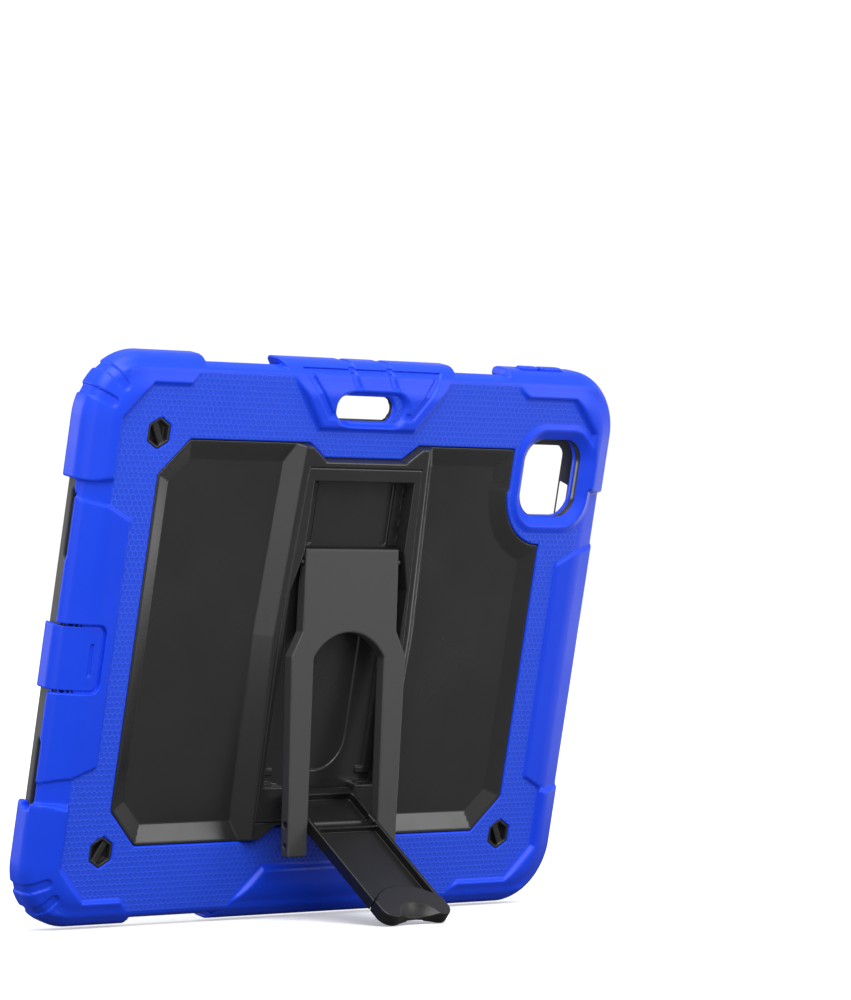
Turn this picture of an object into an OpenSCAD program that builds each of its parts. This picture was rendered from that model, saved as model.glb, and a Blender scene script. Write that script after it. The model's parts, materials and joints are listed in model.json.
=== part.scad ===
// Rugged two-layer case for an 11-inch class tablet, with a fold-out stand and a stylus bay.
// It is drawn in its own case frame first: x along the long side, y across the case towards the
// stylus side, z out of the back, with z = 0 on the rubber back surface. place() then stands it up,
// leaning back on its open stand, with the foot and the lower edge on the plane z = 0.

/* [Tablet] */
// Length of the tablet
tablet_l = 247.6; // [235:0.1:300]
// Width of the tablet
tablet_w = 178.5; // [165:0.1:220]
// Thickness of the tablet
tablet_t = 6.1; // [5.5:0.1:8.5]
// Corner radius of the tablet
tablet_r = 18; // [12:0.5:22]
// Clearance all round the tablet
tablet_fit = 0.2; // [0.1:0.05:0.5]
// Visible screen length
screen_l = 229.8; // [215:0.1:280]
// Visible screen width
screen_w = 160.5; // [148:0.1:200]

/* [Margins] */
// Case beyond the tablet at each short end
margin_end = 11.2; // [10:0.1:16]
// Case beyond the tablet on the plain long side
margin_low = 12.2; // [11:0.1:18]
// Case beyond the tablet on the stylus side
margin_stylus = 23.3; // [22:0.1:30]
// Outer corner radius
corner_r = 25; // [22:0.5:30]

/* [Walls] */
// Thickness of the rubber skin on the back
skin_t = 1.8; // [1.5:0.1:2.6]
// Thickness of the rubber on the corners, outside the frame
bumper_t = 3.4; // [3:0.1:5]
// Rise of the corner bumpers above the back
bumper_rise = 2; // [1:0.1:3]
// Rubber wrapped over the front of the frame at the corners
wrap_t = 1; // [0.8:0.1:1.6]
// Thickness of the hard shell's panel floors
panel_t = 1.4; // [1.2:0.1:2.4]
// Depth of the shell's panels below the back
panel_recess = 2.6; // [2.2:0.1:3.2]
// Thickness of the front frame's face
face_t = 1.6; // [1.4:0.1:2.4]
// Thickness of the front frame's skirt
skirt_t = 2; // [1.6:0.1:2.6]
// Thickness of the wall round the tablet
wall_t = 2; // [1.6:0.1:2.6]

/* [Shell window] */
// Length of the black window in the skin
window_l = 200; // [190:1:210]
// Width of the black window in the skin
window_w = 152.5; // [146:0.5:158]
// Corner chamfer of the window
window_chamfer = 13.5; // [8:0.5:18]
// Width of the bevel round the sunk panels
bevel_w = 7; // [4:0.5:9]
// Rise of the spine above the back
spine_rise = 3; // [2.4:0.1:4]
// Length of the spine, along the case's width
spine_l = 141.5; // [138:0.5:144]

/* [Stand] */
// Lean of the case when it stands on its foot
lean = 12; // [8:0.5:14]
// Angle the foot opens from the folded position
foot_open = 116.5; // [110:0.5:120]
// Height of the foot hinge above the tablet's long centre line, negative is below
foot_axis_y = -53; // [-56:0.5:-50]
// Height of the foot hinge above the back
foot_axis_z = 0.5; // [0.3:0.1:0.8]
// Distance from the foot hinge to the leg pivot
crank_r = 17; // [15:0.5:19]
// Distance from the leg pivot to the slide pins
leg_l = 98.5; // [94:0.5:100]
// Thickness of leg and foot
stand_t = 4.4; // [3.8:0.1:4.4]
// Half width of the foot
foot_half_w = 17.25; // [14:0.25:17.25]
// Half width of the leg's upper end
leg_top_half_w = 23.75; // [22:0.25:24]
// Half width of the leg's shoulders
leg_low_half_w = 29.2; // [27:0.1:29.2]
// Half width of the arch in the leg
arch_half_w = 18; // [17.75:0.25:19]
// Radius of the stand's pins
pin_r = 1.3; // [1:0.1:1.5]
// Radial running clearance of the pins
pin_fit = 0.05; // [0.02:0.01:0.1]
// Clearance of moving pieces
move_gap = 0.4; // [0.3:0.05:0.5]

/* [Stylus] */
// Length of the stylus bay
bay_l = 171; // [168:0.5:176]
// Width of the stylus bay
bay_w = 10.8; // [9.4:0.1:11.5]
// Place of the bay's middle along the case
bay_x = -3; // [-6:0.5:0]
// Length of the push window behind the stylus
push_l = 29; // [24:0.5:34]
// Width of the push window
push_w = 9; // [8:0.5:10]

/* [Openings] */
// Size of the square camera opening
camera_size = 29; // [27:0.5:31]
// Distance of the camera opening from the case's middle, along the case
camera_x = 102.7; // [100:0.1:105]
// Height of the camera opening above the tablet's long centre line
camera_y = 70.5; // [68:0.1:72]
// Across-corner radius of the strap anchors
strap_r = 6; // [5.5:0.1:7]
// Width of the charging port flap
flap_w = 24; // [20:0.5:30]
// Length of the flap folded over the back
flap_back = 19; // [15:0.5:20]
// Angle the flap opens
flap_open = 110; // [90:5:120]
// Travel of the volume buttons
button_travel = 0.5; // [0.3:0.1:0.6]

/* [Hidden] */
$fn = 64;
eps = 0.05;

// outline of the whole case
case_l = tablet_l + 2 * margin_end;
case_w = tablet_w + margin_low + margin_stylus;
half_l = case_l / 2;
half_w = case_w / 2;
tablet_y = (margin_low - margin_stylus) / 2;
frame_half_l = half_l - bumper_t;
frame_half_w = half_w - bumper_t - 1;
frame_r = corner_r - bumper_t;
// plain edges of the skin stand back from the bumpers
edge_half_l = half_l - 1;
edge_half_w = frame_half_w + 2;

// levels through the thickness
z_panel = -panel_recess;
z_cavity = z_panel - panel_t;
z_face = z_cavity - tablet_t - tablet_fit;
z_front = z_face - face_t;
z_wrap = z_front - wrap_t;
z_skin = -skin_t;
z_bay = z_skin - panel_t;
z_floor = z_panel - 0.2;
z_edge = -6.5;
z_mid = z_cavity - tablet_t / 2;

// window and spine
window_half_l = window_l / 2;
window_half_w = window_w / 2;
spine_half_l = spine_l / 2;
spine_top_half = 31.3;
spine_mid_half = 34.5;
spine_low_half = 33.6;
spine_foot = 6.5;
spine_side_cut = 28;

// stand
foot_y = tablet_y + foot_axis_y;
leg_tilt = asin(crank_r * sin(foot_open) / leg_l);
leg_over_top = 5;
leg_over_low = 12;
pocket_top = foot_y + crank_r + leg_l + leg_over_top + move_gap;
pocket_low = foot_y - 9.5;
pocket_half_top = leg_top_half_w + 1.9;
pocket_half_low = leg_low_half_w + 2 * move_gap;
shoulder_top = 31;
shoulder_low = 40.5;
channel_wall = 3.6;
ear_half = foot_half_w + move_gap;
ear_top = foot_y + 3.5;
pin_half = ear_half + 5;
detent_t = 0.8;
detent_l = 24;

// resting plane, in the leaned frame
floor_level = -half_w * cos(lean) + sin(lean);
foot_axis_level = foot_y * cos(lean) - foot_axis_z * sin(lean);
foot_l = (floor_level - foot_axis_level + stand_t / 2 * sin(foot_open + lean))
    / cos(foot_open + lean);
front_level = half_w * sin(lean) - (z_wrap + wrap_t) * cos(lean);
foot_reach = -(foot_y + foot_l * cos(foot_open)) * sin(lean)
    - (foot_axis_z + foot_l * sin(foot_open)) * cos(lean);
foot_back = foot_reach - stand_t / 2 * max(0, cos(foot_open + lean));
shift_y = -(front_level + foot_back) / 2;
tip_seam_r = 23;
tip_seam = foot_l - 17;
tip_pad = 0.6;

// openings
bay_y = tablet_y + tablet_w / 2 + 0.4 + bay_w / 2;
push_x = -2.5;
port_w = 14;
port_h = 6.4;
flap_y = tablet_y;
flap_end = -edge_half_l + flap_back;
flap_axis_x = -edge_half_l + 1.2;
flap_axis_z = z_front;
button_h = 4;
button_l = [9.7, 11.6];
button_x = [86.4, 98];
stem_w = 5;
stem_h = 3;
speaker_h = 3.8;
speaker_l = 26;
speaker_y = [43, -49];
power_gap = [54, 75.5];
anchor_wall = 1.1;
anchor_floor = 1;
anchor_bar_w = 2.6;
strap_x = window_half_l + 2;
strap_y = window_half_w + 1.75;
strip_x = half_l - 25;

// rails round the tablet
rail_x = tablet_l / 2 + tablet_fit;
rail_y = tablet_w / 2 + tablet_fit;
rail_end_x = tablet_l / 2 - tablet_r;
rail_end_y = tablet_w / 2 - tablet_r;

// ---- flat outlines ----
module rounded_rect(l, w, r) {
    square([l - 2 * r, w], center = true);
    square([l, w - 2 * r], center = true);
    for (x = [-1, 1], y = [-1, 1])
        translate([x * (l / 2 - r), y * (w / 2 - r)]) circle(r);
}

module slab(low, high) {
    translate([0, 0, low]) linear_extrude(height = high - low) children();
}

module tablet_outline(grow) {
    translate([0, tablet_y])
        rounded_rect(tablet_l + 2 * grow, tablet_w + 2 * grow, tablet_r + grow);
}

module frame_outline(inset) {
    rounded_rect(2 * (frame_half_l - inset), 2 * (frame_half_w - inset), frame_r - inset);
}

module window_outline() {
    difference() {
        translate([-window_half_l, -window_half_w]) square([window_l, window_w]);
        for (x = [-1, 1], y = [-1, 1])
            translate([x * window_half_l, y * window_half_w]) rotate(45)
                square(window_chamfer * sqrt(2), center = true);
        for (y = [-1, 1]) scale([1, y]) notch_outline();
        translate([camera_x - 2.7, camera_y + tablet_y - 5]) circle(21);
        translate([camera_x - 23, camera_y + tablet_y - 7]) square(40);
    }
}

// where the skin steps in over the ends of the spine
module notch_outline() {
    low = spine_half_l;
    polygon([[-20, low], [20, low], [28, window_half_w + 1], [-28, window_half_w + 1]]);
}

module corner_outline() {
    polygon([[half_l - 14.5, 60], [half_l - 14.5, 83], [half_l - 27, 96], [half_l - 45, 96],
        [half_l - 52, half_w - 1], [half_l - 52, half_w + 1], [half_l + 1, half_w + 1],
        [half_l + 1, 60]]);
}

module each_corner() {
    for (x = [-1, 1], y = [-1, 1]) scale([x, y]) children();
}

module stylus_bump_outline() {
    polygon([[-45, half_w], [-25, bay_y - 8.3], [24, bay_y - 8.3], [38, bay_y + 7.5],
        [43, half_w]]);
}

module lower_bump_outline() {
    polygon([[-42, 1 - half_w], [-22, 21 - half_w], [22, 21 - half_w], [42, 1 - half_w]]);
}

module camera_outline(size, r) {
    translate([camera_x, tablet_y + camera_y]) rounded_rect(size, size, r);
}

module push_outline() {
    translate([push_x, bay_y]) rounded_rect(push_l, push_w, push_w / 2 - 0.01);
}

module bay_outline() {
    translate([bay_x, bay_y]) square([bay_l, bay_w], center = true);
}

module flap_outline(gap) {
    long = flap_back + 4;
    translate([flap_end + gap - long / 2, flap_y])
        rounded_rect(long, flap_w + 2 * gap, 3 + gap);
}

module hexagon(r) {
    rotate(30) circle(r, $fn = 6);
}

module strap_places() {
    for (p = [[-1, 1], [-1, -1], [1, -1]])
        translate([p[0] * strap_x, p[1] * strap_y]) children();
}

// leg, seen from behind, with its pivot at the origin and its slide pins up the y axis
module leg_outline() {
    top = leg_l + leg_over_top;
    half = [[leg_top_half_w, top], [leg_top_half_w + 0.25, top - shoulder_top],
        [leg_low_half_w, top - shoulder_low], [leg_low_half_w - 1.7, -leg_over_low]];
    difference() {
        polygon([for (p = half) p, for (i = [3:-1:0]) [-half[i][0], half[i][1]]]);
        arch_outline(top - shoulder_top - 0.5);
    }
}

module arch_outline(apex) {
    arc_r = 21.8;
    intersection() {
        translate([-arch_half_w, -leg_over_low - 1])
            square([2 * arch_half_w, apex + leg_over_low + 1]);
        union() {
            translate([0, apex - arc_r]) circle(arc_r);
            translate([-arch_half_w, -leg_over_low - 1])
                square([2 * arch_half_w, apex + leg_over_low - 9.6]);
        }
    }
}

module channel_outline(grow) {
    half = [[spine_top_half - 2.3, spine_half_l - 3.2], [spine_mid_half - 2, 3],
        [spine_low_half - 2, 2.2 - spine_half_l]];
    polygon([for (p = half) [p[0] + grow, p[1] + sign(p[1]) * grow],
        for (i = [2:-1:0]) [-half[i][0] - grow, half[i][1] + sign(half[i][1]) * grow]]);
}

// ---- where things stand ----
module place() {
    translate([0, shift_y, -floor_level]) rotate([90 + lean, 0, 0]) children();
}

module place_foot() {
    place() translate([0, foot_y, foot_axis_z]) rotate([foot_open, 0, 0]) children();
}

module place_leg() {
    place_foot() translate([0, crank_r, 0]) rotate([-foot_open - leg_tilt, 0, 0]) children();
}

module cross_pin(low, high, r) {
    translate([low, 0, 0]) rotate([0, 90, 0]) cylinder(h = high - low, r = r);
}

// ---- fixed pieces ----
module rubber_skin() {
    color("royalblue") place() difference() {
        union() {
            slab(z_edge, -1.5) rounded_rect(2 * edge_half_l, 2 * edge_half_w, corner_r - 1);
            slab(-1.5, 0) rounded_rect(2 * edge_half_l - 3, 2 * edge_half_w - 3, corner_r - 2);
            bumpers();
            slab(-0.5, 1.2) side_strips();
        }
        slab(z_front, z_skin) frame_outline(0);
        slab(z_wrap - 1, z_front + eps) frame_outline(2.1);
        slab(z_skin - eps, bumper_rise + 4) window_outline();
        slab(z_skin - eps, 5) camera_outline(camera_size + 2, 9);
        slab(-1, 5) camera_outline(camera_size + 6, 12);
        slab(z_skin - eps, 5) push_outline();
        slab(z_skin - eps, 5) strap_places() hexagon(strap_r + 0.1);
        slab(z_wrap - 1, 5) flap_outline(0.4);
        side_cuts();
        button_cuts();
    }
}

module bumpers() {
    intersection() {
        union() {
            slab(z_wrap, z_wrap + 1.5) rounded_rect(case_l - 3, case_w - 3, corner_r - 1.5);
            slab(z_wrap + 1.5, -1) rounded_rect(case_l, case_w, corner_r);
            slab(-1, bumper_rise) rounded_rect(case_l - 4, case_w - 4, corner_r - 2);
        }
        slab(z_wrap - 1, bumper_rise + 1) {
            each_corner() corner_outline();
            stylus_bump_outline();
            lower_bump_outline();
        }
    }
}

module side_strips() {
    for (x = [-1, 1]) scale([x, 1])
        polygon([[strip_x, -48], [strip_x + 10.5, -54], [strip_x + 10.5, 48], [strip_x, 42]]);
}

// speaker slots beside the port, and the power button's gap at the other end
module side_cuts() {
    for (y = speaker_y)
        translate([-half_l - 1, y - speaker_l / 2, z_mid - speaker_h / 2])
            cube([12, speaker_l, speaker_h]);
    translate([frame_half_l - 3, power_gap[0], z_wrap - 1])
        cube([8, power_gap[1] - power_gap[0], -z_wrap - 4]);
}

module button_cuts() {
    for (i = [0, 1])
        translate([button_x[i] - button_l[i] / 2 - move_gap, frame_half_w - eps,
            z_mid - button_h / 2 - move_gap])
            cube([button_l[i] + 2 * move_gap, 8, button_h + 2 * move_gap]);
}

module stem_cuts() {
    for (i = [0, 1])
        translate([button_x[i], frame_half_w - 15, z_mid])
            cube([stem_w + 2 * move_gap, 40, stem_h + 2 * move_gap], center = true);
}

module port_cut() {
    translate([-half_l, flap_y - port_w / 2, z_mid - port_h / 2]) cube([14, port_w, port_h]);
}

module rear_shell() {
    color("dimgray") place() difference() {
        union() {
            difference() {
                union() {
                    slab(z_cavity, z_skin) frame_outline(0);
                    slab(z_skin, 0) window_outline();
                }
                panel_recesses();
            }
            spine();
        }
        slab(z_cavity - 1, spine_rise + 1) channel_outline(0);
        slab(z_cavity - 1, z_bay) bay_outline();
        slab(z_cavity - 1, 1) push_outline();
        slab(z_cavity - 1, 1) camera_outline(camera_size + 1, 9);
        slab(z_cavity - 1, 1) strap_places() hexagon(strap_r);
        side_cuts();
        stem_cuts();
        port_cut();
    }
}

module panel_recesses() {
    difference() {
        for (x = [-1, 1]) scale([x, 1, 1]) hull() {
            slab(0, 1) panel_outline(0);
            slab(z_panel, z_panel + 0.01) panel_outline(bevel_w);
        }
        translate([camera_x - 2.7, camera_y + tablet_y - 5, z_panel - eps])
            cylinder(h = panel_recess + 1, r1 = 21 + bevel_w, r2 = 19);
        translate([camera_x - 23, camera_y + tablet_y - 7, z_panel - eps]) cube([40, 40, 5]);
    }
}

module panel_outline(inset) {
    low = window_half_w - inset;
    far = window_half_l - inset;
    cut = window_chamfer - 0.6 * inset;
    polygon([[spine_side_cut, -low], [far - cut, -low], [far, cut - low], [far, low - cut],
        [far - cut, low], [spine_side_cut, low]]);
}

module spine() {
    intersection() {
        slab(z_panel - eps, spine_rise + 1)
            square([4 * spine_mid_half, 2 * spine_half_l], center = true);
        hull() {
            slab(z_panel - eps, z_panel) spine_outline(spine_foot);
            slab(spine_rise - 0.01, spine_rise) spine_outline(0);
        }
    }
}

module spine_outline(grow) {
    end = spine_half_l + 5;
    half = [[spine_top_half + grow, end], [spine_mid_half + grow, 3],
        [spine_low_half + grow - 1.5, -end]];
    polygon([for (p = half) p, for (i = [2:-1:0]) [-half[i][0], half[i][1]]]);
}

// blocks on the shell's floor that hold the tablet's edges
module rail(x, y) {
    color("gray") place() slab(z_face + 0.1, z_cavity) translate([x[0], tablet_y + y[0]])
        square([x[1] - x[0], y[1] - y[0]]);
}

module rail_low() {
    rail([-rail_end_x, rail_end_x], [-rail_y - wall_t, -rail_y]);
}

module rail_camera_side() {
    rail([rail_x, rail_x + wall_t], [-rail_end_y, power_gap[0] - tablet_y - 6]);
}

module rail_port_upper() {
    rail([-rail_x - wall_t, -rail_x], [port_w / 2 + 1.5, speaker_y[0] - speaker_l / 2 + 3.5]);
}

module rail_port_lower() {
    rail([-rail_x - wall_t, -rail_x], [speaker_y[1] + speaker_l / 2 + 7.5, -port_w / 2 - 1.5]);
}

module rail_stylus_left() {
    rail([-rail_end_x, bay_x - bay_l / 2 - 1], [rail_y, rail_y + wall_t]);
}

module rail_stylus_right() {
    rail([button_x[1] + stem_w / 2 + 1, rail_end_x], [rail_y, rail_y + wall_t]);
}

module front_frame() {
    color("darkslategray") place() difference() {
        slab(z_front, z_face) frame_outline(0);
        translate([0, tablet_y, 0]) {
            slab(z_front - 1, z_face + 1)
                rounded_rect(screen_l - 0.4, screen_w + 0.5, 4);
            slab(z_front - 1, z_front + 0.8)
                rounded_rect(screen_l + 6.5, screen_w + 7.4, 6);
        }
        slab(z_front - 1, z_face + 1) bay_outline();
        slab(z_front - 1, z_front + 0.6) sensor_notch();
        slab(z_front - 1, z_face + 1) front_slots();
        side_cuts();
    }
}

// wall between the front frame and the shell
module side_band() {
    color("darkslategray") place() difference() {
        slab(z_face, z_cavity) difference() {
            frame_outline(0);
            frame_outline(skirt_t);
        }
        side_cuts();
        stem_cuts();
        port_cut();
    }
}

module sensor_notch() {
    base = screen_l / 2 + 3;
    polygon([[base, -28], [base + 11, -21], [base + 11, 12], [base, 18]]);
}

// slanted speaker slots in the front face
module front_slots() {
    for (s = [[-68.5, 7], [-56.5, 16], [35.5, 9.5], [48.5, 14]])
        polygon([[frame_half_l - 14, s[0]], [frame_half_l - 8.5, s[0] + 2],
            [frame_half_l - 8.5, s[0] + s[1] - 2], [frame_half_l - 14, s[0] + s[1]]]);
}

module stand_channel() {
    color("black") place() difference() {
        slab(z_cavity, spine_rise) channel_outline(-0.05);
        slab(z_floor, spine_rise + 1) difference() {
            pocket_outline();
            for (x = [-1, 1]) scale([x, 1])
                translate([ear_half, pocket_low - 1]) square([40, ear_top - pocket_low + 1]);
        }
        for (x = [-1, 1]) scale([x, 1, 1])
            slab(z_floor - 0.6, spine_rise) translate([18, pocket_top - detent_l - 1])
                square([2.8, detent_l]);
        translate([0, foot_y, foot_axis_z]) cross_pin(-pin_half, pin_half, pin_r);
    }
}

module pocket_outline() {
    shoulder = pocket_top - shoulder_top + 4;
    half = [[pocket_half_top, pocket_top], [pocket_half_top, shoulder],
        [pocket_half_low, shoulder - 15], [pocket_half_low - 0.8, pocket_low]];
    polygon([for (p = half) p, for (i = [3:-1:0]) [-half[i][0], half[i][1]]]);
}

// strip with a waved edge that the slide pins click along
module detent_strip(side) {
    waves = 4;
    steps = 48;
    inner = 20.8;
    outer = pocket_half_top - 0.1;
    edge = [for (i = [0:steps]) [outer - 0.9 + 0.9 * cos(360 * waves * i / steps),
        pocket_top - 1 - detent_l * i / steps]];
    place() scale([side, 1, 1]) slab(z_floor, z_floor + detent_t)
        polygon([[inner, pocket_top - 1], for (p = edge) p, [inner, pocket_top - 1 - detent_l]]);
}

module detent_strip_left() {
    color("gray") detent_strip(-1);
}

module detent_strip_right() {
    color("gray") detent_strip(1);
}

module foot_hinge_pin() {
    color("silver") place() translate([0, foot_y, foot_axis_z])
        cross_pin(-pin_half, pin_half, pin_r);
}

// hexagonal cup with a slanted bar that a strap goes round
module strap_anchor(x, y, turn) {
    color("black") place() translate([x * strap_x, y * strap_y, 0]) {
        slab(z_cavity, -0.3) difference() {
            hexagon(strap_r);
            hexagon(strap_r - anchor_wall);
        }
        slab(z_cavity, z_cavity + anchor_floor) hexagon(strap_r - anchor_wall / 2);
        slab(z_cavity + anchor_floor + 0.7, -0.8) intersection() {
            hexagon(strap_r - anchor_wall / 2);
            rotate(turn) square([4 * strap_r, anchor_bar_w], center = true);
        }
    }
}

module strap_anchor_top() {
    strap_anchor(-1, 1, -60);
}

module strap_anchor_bottom_left() {
    strap_anchor(-1, -1, 60);
}

module strap_anchor_bottom_right() {
    strap_anchor(1, -1, -60);
}

// ---- small moving pieces of the skin ----
module port_flap() {
    side_gap = 0.3;
    side_x = -frame_half_l - side_gap;
    color("royalblue") place() difference() {
        intersection() {
            slab(z_front - 0.6, 0) flap_outline(0);
            slab(z_front - 0.6, 0) translate([-edge_half_l, -half_w]) square([60, case_w]);
        }
        translate([side_x, -half_w, z_front - 1])
            cube([60, case_w, -z_front + 1 + z_skin + side_gap]);
        translate([-edge_half_l + 14, flap_y, 0]) cube([1, flap_w / 2, 0.8], center = true);
    }
}

module volume_button(i) {
    head_low = frame_half_w + 0.2 + button_travel;
    color("royalblue") place() translate([button_x[i], 0, z_mid]) {
        translate([-button_l[i] / 2, head_low, -button_h / 2])
            cube([button_l[i], half_w + 0.9 - head_low, button_h]);
        stem_low = tablet_y + tablet_w / 2 + 0.2 + button_travel;
        translate([-stem_w / 2, stem_low, -stem_h / 2])
            cube([stem_w, head_low - stem_low + eps, stem_h]);
    }
}

module volume_up_button() {
    volume_button(1);
}

module volume_down_button() {
    volume_button(0);
}

// ---- stand ----
module foot_plate() {
    flange = 1.8;
    floor_t = 1.5;
    half_t = stand_t / 2;
    color("black") place_foot() difference() {
        intersection() {
            slab(-half_t, half_t) translate([-foot_half_w, -half_t])
                square([2 * foot_half_w, foot_l]);
            foot_side_profile();
        }
        difference() {
            slab(-half_t - 1, half_t - floor_t)
                translate([-foot_half_w + flange, 3]) square([2 * (foot_half_w - flange), foot_l]);
            foot_ribs();
        }
        slab(-half_t - 1, half_t + 1) translate([0, tip_seam + tip_seam_r]) circle(tip_seam_r);
        slab(-half_t - 1, half_t + 1)
            translate([-40, tip_seam + 7.5]) square([80, foot_l]);
        cross_pin(-40, 40, pin_r + pin_fit);
        translate([0, crank_r, 0]) cross_pin(-40, 40, pin_r + pin_fit);
    }
}

// the hinge end of the foot is rounded about the hinge line
module foot_side_profile() {
    half_t = stand_t / 2;
    cross_pin(-foot_half_w, foot_half_w, half_t);
    translate([-foot_half_w, 0, -half_t]) cube([2 * foot_half_w, foot_l, stand_t]);
}

module foot_ribs() {
    half_t = stand_t / 2;
    translate([-foot_half_w, crank_r - 2.2, -half_t]) difference() {
        cube([2 * foot_half_w, 4.4, stand_t]);
        translate([foot_half_w - 9, 1.5, -1]) cube([18, 1.4, 2.4]);
    }
}

module foot_tip() {
    half_t = stand_t / 2;
    low = -half_t - tip_pad;
    color("black") place_foot() difference() {
        intersection() {
            slab(low, half_t) translate([0, foot_l - 30]) rounded_rect(2 * foot_half_w, 60, 5);
            slab(low, half_t) union() {
                translate([0, tip_seam + tip_seam_r]) circle(tip_seam_r - 0.02);
                translate([-40, tip_seam + 7.52]) square([80, foot_l]);
            }
        }
        slab(low - 1, half_t + 1) translate([0, foot_l + 28]) circle(30);
        translate([0, foot_l + 2, low - 9]) sphere(13);
    }
}

module stand_leg() {
    half_t = stand_t / 2;
    relief = 14;
    color("dimgray") place_leg() difference() {
        slab(-half_t, half_t) leg_outline();
        translate([-40, leg_l + leg_over_top - relief, -half_t]) rotate([leg_tilt, 0, 0])
            translate([0, 0, -5]) cube([80, relief + 5, 5]);
        translate([0, leg_l, 0]) cross_pin(-40, -leg_top_half_w + 4, pin_r);
        translate([0, leg_l, 0]) cross_pin(leg_top_half_w - 4, 40, pin_r);
        cross_pin(-40, 40, pin_r);
    }
}

module leg_pivot_pin(side) {
    inner = foot_half_w - 1.5;
    outer = leg_low_half_w - 2.2;
    color("silver") place_leg() scale([side, 1, 1]) cross_pin(inner, outer, pin_r);
}

module leg_pivot_pin_left() {
    leg_pivot_pin(-1);
}

module leg_pivot_pin_right() {
    leg_pivot_pin(1);
}

module slide_pin(side) {
    color("silver") place_leg() translate([0, leg_l, 0]) scale([side, 1, 1])
        cross_pin(leg_top_half_w - 4, pocket_half_top - move_gap, pin_r);
}

module slide_pin_left() {
    slide_pin(-1);
}

module slide_pin_right() {
    slide_pin(1);
}

rubber_skin();
rear_shell();
front_frame();
side_band();
stand_channel();
rail_low();
rail_camera_side();
rail_port_upper();
rail_port_lower();
rail_stylus_left();
rail_stylus_right();
detent_strip_left();
detent_strip_right();
foot_hinge_pin();
strap_anchor_top();
strap_anchor_bottom_left();
strap_anchor_bottom_right();
port_flap();
volume_up_button();
volume_down_button();
foot_plate();
foot_tip();
stand_leg();
leg_pivot_pin_left();
leg_pivot_pin_right();
slide_pin_left();
slide_pin_right();
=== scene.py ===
import json
from math import cos, radians, sin, sqrt
import bpy
import numpy as np
from mathutils import Matrix, Vector


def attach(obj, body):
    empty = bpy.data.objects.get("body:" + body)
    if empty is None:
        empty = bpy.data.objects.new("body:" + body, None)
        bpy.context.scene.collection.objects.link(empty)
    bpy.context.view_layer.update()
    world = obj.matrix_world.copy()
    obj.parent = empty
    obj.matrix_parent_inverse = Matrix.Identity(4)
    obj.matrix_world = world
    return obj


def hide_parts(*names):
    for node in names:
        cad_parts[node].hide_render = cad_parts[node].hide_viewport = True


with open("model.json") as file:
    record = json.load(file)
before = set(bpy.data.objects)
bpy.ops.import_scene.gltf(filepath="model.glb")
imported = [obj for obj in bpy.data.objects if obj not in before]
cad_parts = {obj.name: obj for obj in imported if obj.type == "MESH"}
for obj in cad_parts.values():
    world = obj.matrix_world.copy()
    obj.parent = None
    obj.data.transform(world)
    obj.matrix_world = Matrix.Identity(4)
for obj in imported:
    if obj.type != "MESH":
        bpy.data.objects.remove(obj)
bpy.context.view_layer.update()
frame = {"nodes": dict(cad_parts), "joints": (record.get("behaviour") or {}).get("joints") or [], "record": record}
scene = bpy.context.scene
print("frame loaded")

# ---- camera, floor and light ----
stage = {
    "cameraPlace": (-1.2249, -1.3232, 0.1206),
    "cameraTurn": (91.199, -0.037, -43.733),
    "lens": 171.97,
    "floorSize": 40.0,
    "roomLight": 0.60,
    "roomSeen": 1.05,
    "sunFrom": (-0.30, -0.62, 0.75),
    "sunPower": 2.3,
    "sunSoftness": 50.0,
    "floorGlow": 0.34,
    "cardGlow": 1.6,
    "leftCardShare": 0.8,
    "floorReflected": (0.16, 0.16, 0.16, 1),
    "floorSeen": (0.92, 0.92, 0.92, 1),
}
lights = [  # name, place, aimed at, size, watts
    ("lowSoftbox", (1.5, -1.5, 0.52), (0, 0, 0.1), 0.8, 7.0),
    ("leftSoftbox", (-1.7, 1.8, 0.55), (0, 0, 0.1), 1.2, 22.0),
    ("topSoftbox", (-0.2, -0.2, 1.9), (0, 0, 0.1), 0.9, 9.0),
]

cameraData = bpy.data.cameras.new("caseCamera")
camera = bpy.data.objects.new("caseCamera", cameraData)
scene.collection.objects.link(camera)
camera.location = stage["cameraPlace"]
camera.rotation_euler = [radians(a) for a in stage["cameraTurn"]]
cameraData.lens = stage["lens"]
cameraData.sensor_width = 36
cameraData.clip_end = 60
scene.camera = camera
scene.view_settings.view_transform = "Standard"

for name, place, target, size, watts in lights:
    lampData = bpy.data.lights.new(name, "AREA")
    lampData.energy = watts
    lampData.size = size
    lamp = bpy.data.objects.new(name, lampData)
    lamp.location = place
    lamp.rotation_euler = (Vector(target) - Vector(place)).to_track_quat("-Z", "Y").to_euler()
    scene.collection.objects.link(lamp)

sunData = bpy.data.lights.new("softSun", "SUN")
sunData.energy = stage["sunPower"]
sunData.angle = radians(stage["sunSoftness"])
sun = bpy.data.objects.new("softSun", sunData)
sun.rotation_euler = Vector(stage["sunFrom"]).to_track_quat("Z", "Y").to_euler()
scene.collection.objects.link(sun)

world = bpy.data.worlds.new("paleRoom")
world.use_nodes = True
roomTree = world.node_tree
room = roomTree.nodes["Background"]
room.inputs["Color"].default_value = (1, 1, 1, 1)
roomRays = roomTree.nodes.new("ShaderNodeLightPath")
roomMix = roomTree.nodes.new("ShaderNodeMapRange")
roomMix.inputs["To Min"].default_value = stage["roomLight"]
roomMix.inputs["To Max"].default_value = stage["roomSeen"]
roomTree.links.new(roomRays.outputs["Is Camera Ray"], roomMix.inputs["Value"])
roomTree.links.new(roomMix.outputs["Result"], room.inputs["Strength"])
scene.world = world

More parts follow.
